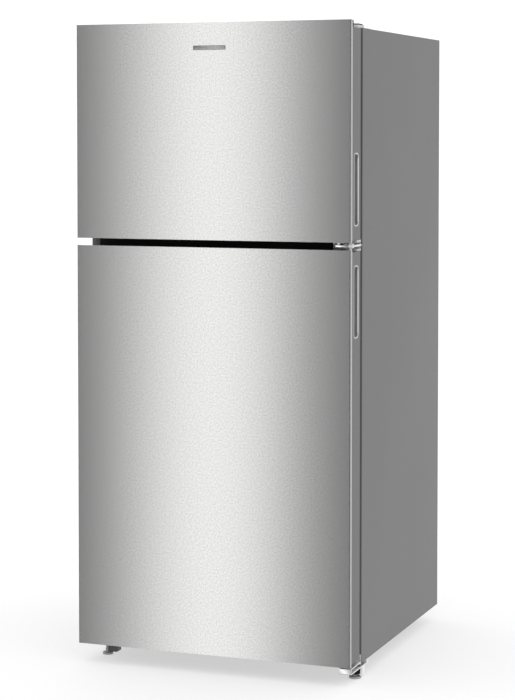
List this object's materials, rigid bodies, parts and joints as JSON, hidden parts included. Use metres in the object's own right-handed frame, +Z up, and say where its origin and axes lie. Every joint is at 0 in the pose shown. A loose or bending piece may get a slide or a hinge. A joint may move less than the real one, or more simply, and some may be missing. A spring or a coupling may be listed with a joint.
{
  "type": "top freezer refrigerator",
  "caption": "Free-standing top freezer refrigerator with flat steel doors, side finger grips, shelves, crispers, door bins and a rear machine space",
  "frame": {"origin": "on the floor, under the middle of the bounding box", "axes": "+Z up, the doors face -Y, the door hinges are on the +X side"},
  "size_m": [0.75, 0.8016, 1.668],
  "materials": {
    "steel_front": "brushed",
    "grey_paint": "satin",
    "zinc_steel": "galvanised",
    "dark_sheet": "matte",
    "hinge_chrome": "polished",
    "hinge_steel": "satin",
    "foam": "matte",
    "white_liner": "gloss",
    "white_plastic": "satin",
    "dark_plastic": "matte",
    "grip_plastic": "satin",
    "cap_plastic": "satin",
    "seal_rubber": "matte",
    "clear_plastic": "clear",
    "shelf_glass": "clear",
    "fin_aluminium": "satin",
    "copper": "satin",
    "compressor_black": "gloss",
    "mount_rubber": "matte",
    "wheel_plastic": "matte",
    "foot_plastic": "matte",
    "lens_plastic": "frosted",
    "badge_metal": "satin"
  },
  "bodies": {
    "cabinet": {"cabinet_shell": "grey_paint", "rear_panel": "zinc_steel", "cabinet_foam": "foam", "freezer_liner": "white_liner", "fridge_liner": "white_liner", "mullion_cover": "dark_plastic", "base_frame": "dark_sheet", "machine_cover": "dark_sheet", "cord_inlet": "dark_plastic", "foot_brackets": "dark_sheet", "bottom_hinge": "hinge_chrome", "centre_hinge": "hinge_chrome", "top_hinge": "hinge_steel", "top_hinge_cover": "dark_plastic", "hinge_pins": "hinge_steel", "hinge_screws": "hinge_steel", "evaporator_cover": "white_plastic", "evaporator_coil": "fin_aluminium", "fan_motor": "dark_plastic", "shelf_glass": "shelf_glass", "shelf_trims": "white_plastic", "shelf_supports": "white_liner", "air_duct": "white_plastic", "control_housing": "white_plastic", "light_lens": "lens_plastic", "compressor": "compressor_black", "compressor_mounts": "mount_rubber", "drain_pan": "dark_plastic", "refrigerant_lines": "copper"},
    "freezer_door": {"freezer_door_skin": "steel_front", "freezer_door_sides": "grey_paint", "freezer_door_grips": "grip_plastic", "freezer_door_liner": "white_liner", "freezer_door_foam": "foam", "freezer_door_gasket": "seal_rubber", "freezer_door_caps": "cap_plastic", "badge": "badge_metal", "freezer_door_bins": "clear_plastic"},
    "fridge_door": {"fridge_door_skin": "steel_front", "fridge_door_sides": "grey_paint", "fridge_door_grips": "grip_plastic", "fridge_door_liner": "white_liner", "fridge_door_foam": "foam", "fridge_door_gasket": "seal_rubber", "fridge_door_caps": "cap_plastic", "fridge_door_bins": "clear_plastic", "dairy_bin": "clear_plastic"},
    "dairy_lid": {"dairy_lid": "clear_plastic"},
    "left_crisper": {"left_crisper": "clear_plastic"},
    "right_crisper": {"right_crisper": "clear_plastic"},
    "fan": {"fan_blades": "white_plastic"},
    "airflow_slider": {"airflow_slider": "grip_plastic"},
    "left_roller": {"left_roller": "wheel_plastic"},
    "right_roller": {"right_roller": "wheel_plastic"},
    "left_foot": {"left_levelling_foot": "foot_plastic"},
    "right_foot": {"right_levelling_foot": "foot_plastic"},
    "temperature_knob": {"temperature_knob": "grip_plastic"},
    "switch_plunger": {"switch_plunger": "white_plastic"}
  },
  "joints": [
    {"name": "freezer_door_swing", "type": "hinge", "parent": "cabinet", "child": "freezer_door", "pos_m": [0.355, -0.358, 1.38], "axis": [0, 0, 1], "range_deg": [0, 120]},
    {"name": "fridge_door_swing", "type": "hinge", "parent": "cabinet", "child": "fridge_door", "pos_m": [0.355, -0.358, 0.57], "axis": [0, 0, 1], "range_deg": [0, 120]},
    {"name": "dairy_lid_lift", "type": "hinge", "parent": "fridge_door", "child": "dairy_lid", "pos_m": [0, -0.312, 0.934], "axis": [1, 0, 0], "range_deg": [0, 75]},
    {"name": "left_crisper_slide", "type": "slide", "parent": "cabinet", "child": "left_crisper", "axis": [0, -1, 0], "range_m": [0, 0.095]},
    {"name": "right_crisper_slide", "type": "slide", "parent": "cabinet", "child": "right_crisper", "axis": [0, -1, 0], "range_m": [0, 0.095]},
    {"name": "evaporator_fan_spin", "type": "hinge", "parent": "cabinet", "child": "fan", "pos_m": [0, 0.26, 1.49], "axis": [0, 1, 0], "continuous": true},
    {"name": "airflow_slider_move", "type": "slide", "parent": "cabinet", "child": "airflow_slider", "axis": [1, 0, 0], "range_m": [-0.028, 0.072]},
    {"name": "left_roller_spin", "type": "hinge", "parent": "cabinet", "child": "left_roller", "pos_m": [-0.29, 0.335, 0.021], "axis": [1, 0, 0], "continuous": true},
    {"name": "right_roller_spin", "type": "hinge", "parent": "cabinet", "child": "right_roller", "pos_m": [0.29, 0.335, 0.021], "axis": [1, 0, 0], "continuous": true},
    {"name": "left_foot_turn", "type": "hinge", "parent": "cabinet", "child": "left_foot", "pos_m": [-0.338, -0.298, 0.02], "axis": [0, 0, 1], "continuous": true},
    {"name": "right_foot_turn", "type": "hinge", "parent": "cabinet", "child": "right_foot", "pos_m": [0.355, -0.298, 0.02], "axis": [0, 0, 1], "continuous": true},
    {"name": "temperature_knob_turn", "type": "hinge", "parent": "cabinet", "child": "temperature_knob", "pos_m": [-0.06, -0.205, 1.057], "axis": [0, -1, 0], "range_deg": [-135, 135]},
    {"name": "door_switch_press", "type": "slide", "parent": "cabinet", "child": "switch_plunger", "axis": [0, -1, 0], "range_m": [0, 0.0065]}
  ],
  "couplings": [
    {"joint": "door_switch_press", "follows": "fridge_door_swing", "m_per_rad": 0.0029}
  ]
}
